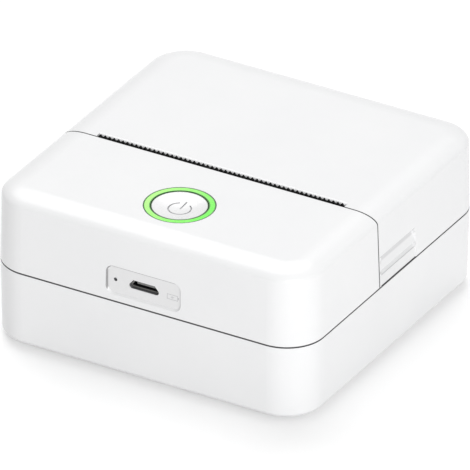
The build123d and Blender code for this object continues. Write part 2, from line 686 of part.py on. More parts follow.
def compound_gear():
    y, z = compound_axis()
    wheel = gear(SMALL_TEETH, lift_angle(), -LARGE_X, GEAR_T + AIR, y, z)
    wheel += gear(LARGE_TEETH, MOTOR_DIRECTION, -LARGE_X - LARGE_T, LARGE_T, y, z)
    return wheel - rod(-LARGE_X - LARGE_T, -GEAR_X, y, z, AXLE_R + RUN_FIT)


def gear_axle():
    """A headed pin in the frame plate that the compound gear turns on."""
    y, z = compound_axis()
    outer = LARGE_X + LARGE_T + RUN_FIT * 4
    head_r, head_t = AXLE_HEAD
    axle = rod(-outer, -PLATE_X, y, z, AXLE_R)
    return axle + rod(-outer - head_t, -outer, y, z, head_r)


def motor_pinion():
    y, z = motor_axis()
    turn = MOTOR_DIRECTION + 180 + 180 / PINION_TEETH
    wheel = gear(PINION_TEETH, turn, -LARGE_X - LARGE_T, LARGE_T + GEAR_T / 2, y, z)
    return wheel - rod(-LARGE_X - LARGE_T, -LARGE_X + GEAR_T / 2, y, z, SHAFT_R)


def motor_shaft():
    y, z = motor_axis()
    return rod(-LARGE_X - LARGE_T, -PLATE_X + MOTOR_LEN / 2, y, z, SHAFT_R)


def motor_body():
    """The stepper can, screwed to the inside of the left frame plate."""
    y, z = motor_axis()
    can = rod(-PLATE_X, -PLATE_X + MOTOR_LEN, y, z, MOTOR_R)
    can += rod(-PLATE_X - PLATE_T, -PLATE_X, y, z, 2 * SHAFT_R + AIR)
    return can - rod(-PLATE_X - PLATE_T, -PLATE_X + MOTOR_LEN / 2, y, z, SHAFT_R + RUN_FIT)


# Mechanism frame

def frame_plate(side):
    """One side plate, with the open slot that the platen bush drops into."""
    motor_y, _ = motor_axis()
    front = motor_y - MOTOR_R - AIR
    back = SLOT_Y + FRAME_REACH
    top = ROOF_Z - FRAME_AIR
    horn = back + HORN
    points = ((front, FRAME_LOW), (back, FRAME_LOW), (back, HINGE_Z - 2), (horn, HINGE_Z), (horn, top - 2),
              (horn - 1, top - 1.6), (PLATEN_Y, top), (SLOT_Y - SPRING_WALL, top), (front, HEAD_PIVOT_Z - 2))
    plate = side_slab(points, PLATE_X, PLATE_X + PLATE_T)
    room = BUSH_R + BUSH_FIT
    mouth = ((PLATEN_Y - room, PLATEN_Z), (PLATEN_Y - room, HEIGHT), (PLATEN_Y + room + MOUTH_FLARE, HEIGHT),
             (PLATEN_Y + room, PLATEN_Z))
    plate -= side_slab(mouth, PLATE_X, PLATE_X + PLATE_T)
    plate -= rod(PLATE_X, PLATE_X + PLATE_T, PLATEN_Y, PLATEN_Z, room)
    plate -= rod(PLATE_X, PLATE_X + PLATE_T, PIVOT_Y, HEAD_PIVOT_Z, PIN_R + THREAD_FIT)
    if side < 0:
        plate = mirror(plate, about=Plane.YZ)
    return plate


def mechanism_frame():
    """Two side plates, a spring wall, the paper guide and the screw flanges."""
    frame = frame_plate(1) + frame_plate(-1)
    wall_y = SLOT_Y - SPRING_WALL
    frame += block(-PLATE_X, PLATE_X, wall_y - TRAY_T, wall_y, HEAD_PIVOT_Z + TRAY_T / 2, ROOF_Z - FRAME_AIR)
    top_y = SLOT_Y + GUIDE_TOP
    foot_y = SLOT_Y + GUIDE_FOOT
    high = HEAD_PIVOT_Z - TRAY_T / 3
    low = DECK_Z + 3 * AIR
    guide = ((top_y, high), (foot_y, low), (foot_y + TRAY_T, low), (top_y + TRAY_T, high))
    frame += side_slab(guide, -PLATE_X, PLATE_X)
    (x, y0), (_, y1) = FRAME_SCREWS
    reach = 2 * SCREW_R
    flange = block(PLATE_X, x + 1.7 * SCREW_R, y0 - reach, y1 + reach, FRAME_LOW, FRAME_LOW + PLATE_T)
    frame += both_sides(flange)
    for x, y in mirrored_spots(FRAME_SCREWS):
        frame -= post(x, y, FRAME_LOW, FRAME_LOW + PLATE_T, SCREW_R + INNER_FIT)
    y, z = compound_axis()
    frame += rod(-GEAR_X + AIR, -PLATE_X - PLATE_T, y, z, 2 * AXLE_R)
    frame -= rod(-GEAR_X, -PLATE_X, y, z, AXLE_R + THREAD_FIT)
    y, z = motor_axis()
    frame -= rod(-PLATE_X - PLATE_T, -PLATE_X, y, z, 2 * SHAFT_R + AIR + INNER_FIT)
    return frame


# Print head

def head_plate():
    """Aluminium heat sink with the barrels that it tilts on."""
    low = HEAD_PIVOT_Z - HEAD_BARREL_R
    inner = HEAD_HALF - HEAD_BARREL_L
    outer = HEAD_HALF + HEAD_BARREL_OUT
    plate = block(-HEAD_HALF, HEAD_HALF, HEAD_Y - HEAD_T, HEAD_Y, low, ROOF_Z - ROOF_AIR)
    plate += both_sides(rod(inner, outer, PIVOT_Y, HEAD_PIVOT_Z, HEAD_BARREL_R))
    return plate - both_sides(rod(inner - AIR, outer, PIVOT_Y, HEAD_PIVOT_Z, PIN_R + RUN_FIT))


def head_ceramic():
    """The ceramic strip with the heater line."""
    low = PLATEN_Z - CERAMIC_H / 2
    return block(-HEAD_HALF, HEAD_HALF, HEAD_Y, HEAD_Y + CERAMIC_T, low, low + CERAMIC_H)


def head_pivot():
    reach = PLATE_X + PLATE_T
    return rod(-reach, reach, PIVOT_Y, HEAD_PIVOT_Z, PIN_R)


def head_spring():
    """A leaf spring between the frame's wall and the head, with two bent tongues."""
    wall_y = SLOT_Y - SPRING_WALL
    tip_y = HEAD_Y - HEAD_T - INNER_FIT / 2
    low = HEAD_PIVOT_Z + LEAF_INSET[0]
    high = ROOF_Z - LEAF_INSET[1]
    touch = high - TONGUE_DROP
    back = block(-LEAF_HALF, LEAF_HALF, wall_y, wall_y + LEAF_T, low, high)
    foot = touch - TONGUE_FLAT
    tongue = ((wall_y + LEAF_T, high - LEAF_T), (wall_y, high), (tip_y - LEAF_T, touch + LEAF_T),
              (tip_y, touch), (tip_y, foot), (tip_y - LEAF_T, foot), (tip_y - LEAF_T, touch - AIR / 3))
    return back + both_sides(side_slab(tongue, *TONGUE_X))


def head_flex():
    """The ribbon from the head down and forward to its socket on the main board."""
    y0 = HEAD_Y - HEAD_T
    low = BOARD_TOP + FLEX_SOCKET[2] / 2 - FLEX_T / 2
    end = HEAD_PIVOT_Z + FLEX_RISE
    points = ((y0, end), (y0 - FLEX_T, end), (y0 - FLEX_T, low + FLEX_BEND + FLEX_T),
              (y0 - FLEX_BEND - FLEX_T, low + FLEX_T), (BOARD_BACK, low + FLEX_T), (BOARD_BACK, low),
              (y0 - FLEX_BEND, low), (y0, low + FLEX_BEND))
    return side_slab(points, -FLEX_HALF, FLEX_HALF)


def flex_socket():
    wide, deep, tall = FLEX_SOCKET
    return block(-wide / 2, wide / 2, BOARD_BACK - deep, BOARD_BACK, BOARD_TOP, BOARD_TOP + tall)


# Paper tray

def paper_tray():
    """Deck with the half round cradle that the paper roll lies in."""
    half = RUBBER_END + AIR
    deck_x = HALF_X - WALL - DECK_AIR
    front = TRAY_Y - TRAY_R - TRAY_T
    back = HINGE_Y - LUG_R - INNER_FIT
    tray = block(-deck_x, deck_x, front, back, DECK_Z - TRAY_T, DECK_Z)
    corners = tray.edges().filter_by(Axis.Z).sort_by(Axis.Y)[-2:]
    tray = fillet(corners, CORNER_R / 2)
    tray += rod(-half - TRAY_T, half + TRAY_T, TRAY_Y, TRAY_Z, TRAY_R + TRAY_T)
    above = TRAY_Z + 2 * (TRAY_R + TRAY_T)
    tray -= block(-WIDTH, WIDTH, -DEPTH, DEPTH, DECK_Z, above)
    tray -= rod(-half, half, TRAY_Y, TRAY_Z, TRAY_R)
    tray -= block(-half, half, TRAY_Y - TRAY_R, TRAY_Y + TRAY_R, TRAY_Z, above)
    y, z = compound_axis()
    gear_room = rod(-LARGE_X - LARGE_T - AIR, -LARGE_X + AIR, y, z, MODULE * (LARGE_TEETH / 2 + 1) + AIR)
    holes = [post(x, y, DECK_Z - TRAY_T, DECK_Z, SCREW_R + INNER_FIT) for x, y in mirrored_spots(TRAY_SCREWS)]
    return tray - [gear_room] - holes


def paper_sensor():
    """A small reflective sensor set on the paper guide."""
    wide, deep, tall = SENSOR
    y = SLOT_Y + GUIDE_FOOT + TRAY_T - SENSOR_SINK
    z = DECK_Z + SENSOR_RISE
    return block(-wide / 2, wide / 2, y, y + deep, z, z + tall)


# Button, ring and switch

def cap_top():
    return HEIGHT - CAP_SINK


def power_button():
    """A dished cap on a stem, with a collar under the ring that keeps it in."""
    under = ROOF_Z - WALL
    cap = post(0, BUTTON_Y, under, cap_top(), CAP_R)
    dish_r = (DISH_R ** 2 + DISH_DEPTH ** 2) / (2 * DISH_DEPTH)
    cap -= Pos(0, BUTTON_Y, cap_top() - DISH_DEPTH + dish_r) * Sphere(dish_r)
    cap -= power_mark()
    over, thick = COLLAR
    cap += post(0, BUTTON_Y, under - thick, under, RING_IN + over)
    return cap + post(0, BUTTON_Y, plunger_top() + THREAD_FIT, under - thick, STEM_R)


def power_mark():
    """The plain standby sign sunk into the cap: an open ring and a bar."""
    floor = cap_top() - DISH_DEPTH - MARK_DEPTH
    ring = Pos(0, BUTTON_Y) * (Circle(MARK_R + MARK_LINE / 2) - Circle(MARK_R - MARK_LINE / 2))
    ring -= Pos(0, BUTTON_Y + MARK_R) * Rectangle(MARK_GAP, MARK_GAP)
    low, high = MARK_BAR
    bar = Pos(0, BUTTON_Y + (low + high) / 2) * Rectangle(MARK_LINE, high - low)
    return Pos(0, 0, floor) * extrude(ring + bar, amount=WALL)


def light_ring():
    """The green light guide round the cap, with a flange under the casing's roof."""
    wide, thick = RING_FLANGE
    ring = post(0, BUTTON_Y, ROOF_Z - WALL + RING_SINK, HEIGHT - RING_SINK, RING_OUT)
    ring += post(0, BUTTON_Y, ROOF_Z - thick, ROOF_Z, RING_OUT + wide)
    return ring - post(0, BUTTON_Y, ROOF_Z - WALL, HEIGHT, RING_IN)


def button_board_z():
    return ROOF_Z - BOARD_DROP


def button_boss_x():
    return RING_OUT + RING_FLANGE[0] + 2 * SCREW_R + BOSS_GAP


def button_board():
    past, half = BUTTON_BOARD
    x = button_boss_x()
    z = button_board_z()
    board = block(-x - past, x + past, BUTTON_Y - half, BUTTON_Y + half, z, z + BOARD_T)
    for spot in (x, -x):
        board -= post(spot, BUTTON_Y, z, z + BOARD_T, SCREW_R + INNER_FIT)
    return board


def board_face():
    """The upper face of the button board."""
    return button_board_z() + BOARD_T


def plunger_top():
    return board_face() + PLUNGER_TOP


def tact_switch():
    wide, tall = SWITCH
    well_r, well_deep = SWITCH_WELL
    top = board_face() + tall
    body = block(-wide / 2, wide / 2, BUTTON_Y - wide / 2, BUTTON_Y + wide / 2, board_face(), top)
    return body - post(0, BUTTON_Y, top - well_deep, top, well_r)


def switch_plunger():
    return post(0, BUTTON_Y, board_face() + PLUNGER_LOW, plunger_top(), PLUNGER_R)


def ring_lamps():
    """Four small lamps on the button board that light the ring."""
    wide, deep, tall = RING_LAMP
    x, y = RING_LAMP_SPOT
    lamp = block(x - wide / 2, x + wide / 2, BUTTON_Y + y - deep / 2, BUTTON_Y + y + deep / 2,
                 board_face(), board_face() + tall)
    return group(Pos(step_x, step_y, 0) * lamp for step_x in (0, -2 * x) for step_y in (0, -2 * y))


def button_flex():
    """A flat lead between the two boards."""
    wide, thick = LEAD
    y = BUTTON_Y - LEAD_BEFORE
    low = BOARD_TOP + LEAD_SOCKET[2]
    return block(-wide / 2, wide / 2, y - thick / 2, y + thick / 2, low, button_board_z())


def button_socket():
    wide, deep, tall = LEAD_SOCKET
    y = BUTTON_Y - LEAD_BEFORE
    return block(-wide / 2, wide / 2, y - deep / 2, y + deep / 2, BOARD_TOP, BOARD_TOP + tall)


# Main board and what sits on it

def main_board():
    front = -HALF_Y + WALL + BOARD_AIR
    board = block(-BOARD_HALF, BOARD_HALF, front, BOARD_BACK, BOARD_TOP - BOARD_T, BOARD_TOP)
    for x, y in mirrored_spots(BOARD_SCREWS):
        board -= post(x, y, BOARD_TOP - BOARD_T, BOARD_TOP, SCREW_R + INNER_FIT)
    return board


def usb_receptacle():
    """The metal shell of the charging port, with its tongue."""
    inside = PORT_LEN - PORT_BACK
    wide, thick = TONGUE
    shell = extrude(port_outline(0), amount=-PORT_LEN) - extrude(port_outline(-PORT_T), amount=-inside)
    low = port_z() - thick / 4
    tongue = block(-wide / 2, wide / 2, PORT_T, inside, low, low + thick)
    return Pos(0, -HALF_Y + PANEL_DEPTH + PORT_SINK, 0) * (shell + tongue)


def light_pipe():
    """A clear rod that carries the charge lamp's light to the front."""
    y0 = -HALF_Y + PANEL_DEPTH + LAMP_SINK
    return Pos(LAMP_X, (y0 + lamp_y()) / 2, port_z()) * Rot(90, 0, 0) * Cylinder(LAMP_R, lamp_y() - y0)


def lamp_y():
    return -HALF_Y + LAMP_BACK


def charge_lamp():
    wide, deep, tall = LAMP_BODY
    return block(LAMP_X - wide / 2, LAMP_X + wide / 2, lamp_y(), lamp_y() + deep, BOARD_TOP, BOARD_TOP + tall)


def driver_chip():
    wide, deep, tall = CHIP
    x1 = BOARD_HALF - CHIP_PLACE[0]
    y0 = -HALF_Y + CHIP_PLACE[1]
    return block(x1 - wide, x1, y0, y0 + deep, BOARD_TOP, BOARD_TOP + tall)


def battery_front():
    return -HALF_Y + DRAFT + LOW_EDGE[0] + 2 * INNER_FIT


def battery_back():
    """The cell fills the room up to the motor."""
    motor_y, _ = motor_axis()
    return motor_y - MOTOR_R - BATTERY_GAP


def battery_pack():
    """A flat cell with rounded long edges."""
    z0 = FLOOR_Z + INNER_FIT / 2
    cell = block(-BATTERY_HALF, BATTERY_HALF, battery_front(), battery_back(), z0, z0 + BATTERY_H)
    return fillet(cell.edges().filter_by(Axis.X), BATTERY_ROUND)


def battery_socket():
    wide, deep, tall = CELL_SOCKET
    x0 = -BOARD_HALF + CELL_SOCKET_PLACE[0]
    y0 = -HALF_Y + CELL_SOCKET_PLACE[1]
    return block(x0, x0 + wide, y0, y0 + deep, BOARD_TOP, BOARD_TOP + tall)


# Screws

def case_screws():
    return group(screw(x, y, CASE_SEAT, CASE_SCREW_L, True) for x, y in mirrored_spots(CASE_SCREWS))


def board_screws():
    return group(screw(x, y, BOARD_TOP, BOARD_SCREW_L, False) for x, y in mirrored_spots(BOARD_SCREWS))


def tray_screws():
    return group(screw(x, y, DECK_Z, TRAY_SCREW_L, False) for x, y in mirrored_spots(TRAY_SCREWS))


def frame_screws():
    seat = FRAME_LOW + PLATE_T
    return group(screw(x, y, seat, FRAME_SCREW_L, False) for x, y in mirrored_spots(FRAME_SCREWS))


def button_screws():
    spots = mirrored_spots(((button_boss_x(), BUTTON_Y),))
    return group(screw(x, y, button_board_z(), BUTTON_SCREW_L, True) for x, y in spots)


PIECES = {
    "base_shell": base_shell,
    "front_casing": front_casing,
    "tear_bar": tear_bar,
    "rear_cover": rear_cover,
    "hinge_pin_right": lambda: hinge_pin(1),
    "hinge_pin_left": lambda: hinge_pin(-1),
    "platen_bush_right": lambda: platen_bush(1),
    "platen_bush_left": lambda: platen_bush(-1),
    "platen_shaft": platen_shaft,
    "platen_rubber": platen_rubber,
    "platen_gear": platen_gear,
    "compound_gear": compound_gear,
    "gear_axle": gear_axle,
    "motor_body": motor_body,
    "motor_shaft": motor_shaft,
    "motor_pinion": motor_pinion,
    "mechanism_frame": mechanism_frame,
    "head_plate": head_plate,
    "head_ceramic": head_ceramic,
    "head_pivot": head_pivot,
    "head_spring": head_spring,
    "head_flex": head_flex,
    "head_flex_socket": flex_socket,
    "paper_tray": paper_tray,
    "paper_sensor": paper_sensor,
    "power_button": power_button,
    "light_ring": light_ring,
    "button_board": button_board,
    "tact_switch": tact_switch,
    "switch_plunger": switch_plunger,
    "ring_lamps": ring_lamps,
    "button_flex": button_flex,
    "button_flex_socket": button_socket,
    "main_board": main_board,
    "usb_receptacle": usb_receptacle,
    "charge_light_pipe": light_pipe,
    "charge_lamp": charge_lamp,
    "driver_chip": driver_chip,
    "battery_pack": battery_pack,
    "battery_socket": battery_socket,
    "foot_front_right": lambda: rubber_foot(0),
    "foot_front_left": lambda: rubber_foot(1),
    "foot_rear_right": lambda: rubber_foot(2),
    "foot_rear_left": lambda: rubber_foot(3),
    "case_screws": case_screws,
    "board_screws": board_screws,
    "tray_screws": tray_screws,
    "frame_screws": frame_screws,
    "button_screws": button_screws,
}

os.makedirs("parts", exist_ok=True)
for name, make in PIECES.items():
    export_step(make(), f"parts/{name}.step")
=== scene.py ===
"""Looks for the pocket printer: materials, printed marks, lamps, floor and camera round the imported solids."""
import json
import math

import bmesh
import bpy
from mathutils import Matrix, Vector
from mathutils.bvhtree import BVHTree


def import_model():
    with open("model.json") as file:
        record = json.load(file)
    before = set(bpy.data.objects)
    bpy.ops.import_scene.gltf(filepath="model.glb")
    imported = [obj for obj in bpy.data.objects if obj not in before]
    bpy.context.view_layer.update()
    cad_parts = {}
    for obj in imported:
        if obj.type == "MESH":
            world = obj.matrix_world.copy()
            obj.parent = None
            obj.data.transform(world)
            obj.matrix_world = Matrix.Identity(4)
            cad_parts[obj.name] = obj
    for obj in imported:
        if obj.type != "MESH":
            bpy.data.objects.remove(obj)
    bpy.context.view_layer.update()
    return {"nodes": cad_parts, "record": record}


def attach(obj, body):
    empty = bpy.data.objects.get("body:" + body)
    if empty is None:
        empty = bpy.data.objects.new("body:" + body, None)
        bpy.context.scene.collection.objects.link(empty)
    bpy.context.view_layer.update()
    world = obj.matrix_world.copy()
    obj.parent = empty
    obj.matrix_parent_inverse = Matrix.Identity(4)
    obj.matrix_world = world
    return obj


MM = 0.001
ALONG_X = (0.06, 1.0, 1.0)   # the stretch of streaks that run along an axis
ALONG_Z = (1.0, 1.0, 0.06)
WHITE = (1.0, 1.0, 1.0, 1.0)

# Places on the part, in millimetres, as the solids have them
TOP_Z = 39.4
PLATEN_Z = 32.8
UPPER_LOW = 20.3         # underside of the upper half
SEAM_BAND = (19.95, 20.35)
SLOT_Y = -7.75
SEAM_LEAN = 0.8 / 19.1   # how far the seam in front of the cover leans back, for its height
FRONT_Y = -42.5
FACE_LEAN = 0.3 / 16.6   # the same for the front casing's face

BUTTON_Y = -25.8
RING_IN = 6.75
RING_OUT = 8.35
DISH_R = 6.3
SIGN_R = 2.65            # the standby sign's ring
SIGN_HALF = 0.17         # half the stroke that is tinted
SIGN_OPEN = 1.28         # half the gap in the ring
SIGN_BAR = (0.1, 3.3)

PORT_Z = 25.625
MOUTH_HALF = (4.1, 1.2)  # half the width and height that hold the port's mouth
MOUTH_Y = (-41.8, -38.0)
LAMP_X = -7.55
LAMP_HALF = 0.6
PANEL_X = 10.2           # half the width, and the heights, that hold the panel
PANEL_Z = (21.7, 29.5)
PANEL_FLOOR_Y = (-41.97, -41.9)
RIM_DEPTH = (0.06, 0.5)  # behind the face
BADGE_X = 7.5            # middle of the charge pictogram, right of the port
BADGE_Z = 25.2
BADGE_HALF = (1.45, 0.7)
BADGE_LINE = 0.16

# The thumb notches: where their side wall starts, how far they reach, and the shadow of each ledge
NOTCH_X = 40.4
NOTCH_Y = (-6.05, 9.0)
NOTCH_SOFT = 0.9
NOTCH_LEDGES = (
    # lower and upper height, softness of both edges, share of the dark tone
    (28.0, 28.14, 0.03, 0.7),
    (26.5, 27.1, 0.35, 0.3),
    (23.75, 24.3, 0.15, 0.65),
    (23.0, 23.12, 0.03, 0.35),
    (20.4, 23.0, 0.03, 0.07),
)

# The studio
WORLD_LEVEL = 0.5
FLOOR_BOUNCE = 0.66      # the floor's tone for the light that it throws back
FLOOR_GLOW = 0.13
LAMPS = (
    # name, azimuth and elevation it stands at in degrees, distance and size in metres, strength in watts
    ("lamp_above", -140.0, 60.0, 1.3, 1.2, 8.4),
    ("lamp_corner", 47.0, 18.0, 1.2, 0.5, 7.1),
)

# The camera: degrees, then millimetres for what it looks at, then metres
VIEW_AZIMUTH = 29.876
VIEW_ELEVATION = 29.528
VIEW_ROLL = 0.217
VIEW_HEIGHT = 20.12
VIEW_SHIFT = (0.18, 1.05)    # to the left and down
VIEW_DISTANCE = 3.5
LENS = 1162.57

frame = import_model()
nodes = frame["nodes"]


# Node helpers

class Shade:
    """One material's nodes. Textures use the part's own coordinates, so they stay on it when it moves."""

    def __init__(self, name):
        self.material = bpy.data.materials.new(name)
        self.material.use_nodes = True
        self.tree = self.material.node_tree
        self.bsdf = self.tree.nodes["Principled BSDF"]
        self.coords = self.tree.nodes.new("ShaderNodeTexCoord").outputs["Object"]

    def node(self, kind, **settings):
        made = self.tree.nodes.new(kind)
        for key, value in settings.items():
            setattr(made, key, value)
        return made

    def link(self, source, target):
        self.tree.links.new(source, target)

    def feed(self, socket, value):
        """Links an output to a socket, or sets a plain number on it."""
        if isinstance(value, bpy.types.NodeSocket):
            self.link(value, socket)
        else:
            socket.default_value = value

    def axes(self):
        """The x, y and z of the part's coordinates, in millimetres."""
        scaled = self.node("ShaderNodeVectorMath", operation="SCALE")
        scaled.inputs["Scale"].default_value = 1 / MM
        self.link(self.coords, scaled.inputs[0])
        split = self.node("ShaderNodeSeparateXYZ")
        self.link(scaled.outputs[0], split.inputs[0])
        return split.outputs["X"], split.outputs["Y"], split.outputs["Z"]

    def stretched(self, stretch):
        """The coordinates squeezed along the axes, for streaks."""
        mapped = self.node("ShaderNodeMapping")
        mapped.inputs["Scale"].default_value = stretch
        self.link(self.coords, mapped.inputs["Vector"])
        return mapped.outputs["Vector"]

    def noise(self, per_mm, detail=3.0, stretch=None):
        made = self.node("ShaderNodeTexNoise")
        made.inputs["Scale"].default_value = per_mm / MM
        made.inputs["Detail"].default_value = detail
        made.inputs["Roughness"].default_value = 0.55
        self.link(self.stretched(stretch) if stretch else self.coords, made.inputs["Vector"])
        return made.outputs["Fac"]

    def cells(self, per_mm):
        """Distance from the nearest point of an even grid."""
        made = self.node("ShaderNodeTexVoronoi", feature="F1")
        made.inputs["Scale"].default_value = per_mm / MM
        made.inputs["Randomness"].default_value = 0.0
        self.link(self.coords, made.inputs["Vector"])
        return made.outputs["Distance"]

    def bands(self, per_mm, direction, distortion=0.0):
        made = self.node("ShaderNodeTexWave", wave_type="BANDS", bands_direction=direction)
        made.inputs["Scale"].default_value = per_mm / MM / 6.2832 * 2
        made.inputs["Distortion"].default_value = distortion
        self.link(self.coords, made.inputs["Vector"])
        return made.outputs["Fac"]

    def math(self, operation, first, second=0.0):
        made = self.node("ShaderNodeMath", operation=operation)
        self.feed(made.inputs[0], first)
        self.feed(made.inputs[1], second)
        return made.outputs[0]

    def both(self, first, second):
        return self.math("MULTIPLY", first, second)

    def most(self, first, second):
        return self.math("MAXIMUM", first, second)

    def minus(self, first, second):
        return self.math("SUBTRACT", first, second)

    def span(self, value, low, high, to_low=0.0, to_high=1.0):
        """Maps low...high of a value onto to_low...to_high, clamped."""
        made = self.node("ShaderNodeMapRange", interpolation_type="LINEAR")
        self.feed(made.inputs["Value"], value)
        made.inputs["From Min"].default_value = low
        made.inputs["From Max"].default_value = high
        made.inputs["To Min"].default_value = to_low
        made.inputs["To Max"].default_value = to_high
        return made.outputs["Result"]

    def within(self, value, low, high, soft=0.03):
        """One where a value lies between two limits, zero outside."""
        rise = self.span(value, low - soft, low)
        fall = self.span(value, high, high + soft, 1.0, 0.0)
        return self.both(rise, fall)

    def mix(self, share, first, second):
        """A colour between two colours or outputs."""
        made = self.node("ShaderNodeMix", data_type="RGBA")
        self.feed(made.inputs["Factor"], share)
        for name, value in (("A", first), ("B", second)):
            socket = [s for s in made.inputs if s.name == name and s.type == "RGBA"][0]
            if isinstance(value, bpy.types.NodeSocket):
                self.link(value, socket)
            else:
                socket.default_value = (*value, 1.0)
        return [s for s in made.outputs if s.type == "RGBA"][0]

    def set(self, **values):
        """Plain values on the shader's own sockets."""
        for key, value in values.items():
            self.bsdf.inputs[key.replace("_", " ").title().replace("Ior", "IOR")].default_value = value

    def colour(self, value):
        if isinstance(value, bpy.types.NodeSocket):
            self.link(value, self.bsdf.inputs["Base Color"])
        else:
            self.bsdf.inputs["Base Color"].default_value = (*value, 1.0)

    def rough(self, value):
        self.feed(self.bsdf.inputs["Roughness"], value)

    def bump(self, height, depth_mm):
        """A height output becomes relief, depth_mm deep."""
        made = self.node("ShaderNodeBump")
        made.inputs["Strength"].default_value = 1.0
        made.inputs["Distance"].default_value = depth_mm * MM
        self.link(height, made.inputs["Height"])
        self.link(made.outputs["Normal"], self.bsdf.inputs["Normal"])


# Plastics

def moulded(name, tone, dark, rough, grain_mm, depth, rough_spread=0.06):
    """Moulded plastic: broad tone drift, fine spark-eroded grain and a sheen that varies with handling."""
    shade = Shade(name)
    drift = shade.noise(0.045, 2.0)
    shade.colour(shade.mix(shade.span(drift, 0.35, 0.65), dark, tone))
    wear = shade.noise(0.25, 4.0)
    shade.rough(shade.span(wear, 0.3, 0.7, rough - rough_spread, rough + rough_spread))
    shade.bump(shade.noise(1 / grain_mm, 2.0), depth)
    return shade


def painted_seam_shade(shade, y, z):
    """Painted shade in the seams' gaps, on the rims that face each other: round the body, and in front of the
    cover.
    """
    level = shade.within(z, *SEAM_BAND)
    seam_y = shade.math("ADD", shade.both(z, -SEAM_LEAN), SLOT_Y + SEAM_LEAN * TOP_Z)
    upright = shade.within(shade.minus(y, seam_y), -0.04, 0.34)
    upright = shade.both(upright, shade.span(z, UPPER_LOW - 0.1, UPPER_LOW))
    return shade.most(level, upright)


def painted_hole_shade(shade, x, y, z):
    """The walls of the port's mouth and of the charge lamp's hole, behind the sunk panel, darkened by painted
    shade.
    """
    wide, tall = MOUTH_HALF
    mouth = shade.both(shade.within(x, -wide, wide), shade.within(z, PORT_Z - tall, PORT_Z + tall))
    hole = shade.both(shade.within(x, LAMP_X - LAMP_HALF, LAMP_X + LAMP_HALF),
                      shade.within(z, PORT_Z - LAMP_HALF, PORT_Z + LAMP_HALF))
    return shade.both(shade.most(mouth, hole), shade.within(y, *MOUTH_Y, 0.08))


def painted_panel_shade(shade, x, y, z):
    """Painted shade on the sunk panel's floor, and on its sloping rim at the top, on the left and round the
    corner between.
    """
    face = shade.math("ADD", shade.both(z, FACE_LEAN), FRONT_Y - UPPER_LOW * FACE_LEAN)
    depth = shade.minus(y, face)
    near = shade.both(shade.within(x, -PANEL_X, PANEL_X), shade.within(z, *PANEL_Z))
    panel_floor_shade = shade.both(near, shade.within(y, *PANEL_FLOOR_Y))
    side = shade.most(shade.span(z, 28.85, 28.95), shade.span(x, -9.55, -9.45, 1.0, 0.0))
    side = shade.most(side, shade.span(shade.minus(z, x), 37.5, 37.6))
    return panel_floor_shade, shade.both(shade.both(near, shade.within(depth, *RIM_DEPTH)), side)


def notch_shadows(shade, x, y, z):
    """The shadows of the thumb notches' ledges, painted by height."""
    side = shade.span(shade.math("ABSOLUTE", x), NOTCH_X, NOTCH_X + 0.1)
    total = 0.0
    for low, high, soft, share in NOTCH_LEDGES:
        total = shade.most(total, shade.both(shade.within(z, low, high, soft), share))
    return shade.both(shade.both(total, side), shade.within(y, *NOTCH_Y, NOTCH_SOFT))


def white_shell():
    """The shells' white plastic, with the dark that the soft lamps don't cast painted in by place."""
    shade = moulded("white_shell", (0.868, 0.87, 0.875), (0.852, 0.855, 0.862), 0.31, 0.16, 0.004, 0.035)
    x, y, z = shade.axes()
    plastic = shade.bsdf.inputs["Base Color"].links[0].from_socket
    plastic = shade.mix(notch_shadows(shade, x, y, z), plastic, (0.3, 0.3, 0.305))
    panel_floor_shade, rim = painted_panel_shade(shade, x, y, z)
    # painted shade darkens the sunk panel's floor
    plastic = shade.mix(panel_floor_shade, plastic, (0.79, 0.79, 0.795))
    # painted shade darkens the panel's rim at the top and on the left
    plastic = shade.mix(rim, plastic, (0.32, 0.32, 0.325))
    # painted shade on the walls of the port's mouth and of the lamp's hole
    plastic = shade.mix(painted_hole_shade(shade, x, y, z), plastic, (0.13, 0.13, 0.135))
    # painted shade in the seams between the shells
    shade.colour(shade.mix(painted_seam_shade(shade, y, z), plastic, (0.2, 0.2, 0.205)))
    shade.set(coat_weight=0.2, coat_roughness=0.1)
    return shade.material


def from_button(shade, x, y):
    """How far behind the button's middle a point lies, and its distance from it."""
    away = shade.minus(y, BUTTON_Y)
    squares = shade.math("ADD", shade.math("POWER", x, 2.0), shade.math("POWER", away, 2.0))
    return away, shade.math("SQRT", squares)


def button_cap():
    """The shells' plastic, a little darker with painted shade where the standby sign is sunk into the dish, and
    greenish painted shade round the dish.
    """
    shade = Shade("button_cap")
    x, y, _ = shade.axes()
    away, radius = from_button(shade, x, y)
    side = shade.math("ABSOLUTE", x)
    arc = shade.within(radius, SIGN_R - SIGN_HALF, SIGN_R + SIGN_HALF, 0.08)
    kept = shade.most(shade.span(side, SIGN_OPEN, SIGN_OPEN + 0.08), shade.span(away, 0.0, 0.2, 1.0, 0.0))
    stroke = shade.span(side, SIGN_HALF, SIGN_HALF + 0.08, 1.0, 0.0)
    bar_part = shade.both(stroke, shade.within(away, *SIGN_BAR, 0.08))
    sign = shade.most(shade.both(arc, kept), bar_part)
    drift = shade.noise(0.2, 2.0)
    plastic = shade.mix(shade.span(drift, 0.35, 0.65), (0.85, 0.85, 0.855), (0.87, 0.87, 0.875))
    wall = shade.span(radius, DISH_R, DISH_R + 0.12)
    # greenish painted shade round the dish's edge, in the gap to the light guide
    plastic = shade.mix(wall, plastic, (0.3, 0.36, 0.3))
    # painted shade in the sunk strokes of the standby sign
    shade.colour(shade.mix(sign, plastic, (0.6, 0.6, 0.61)))
    shade.rough(shade.span(shade.noise(0.6, 3.0), 0.3, 0.7, 0.24, 0.34))
    shade.bump(shade.noise(6.0, 2.0), 0.003)
    shade.set(coat_weight=0.15, coat_roughness=0.12)
    return shade.material


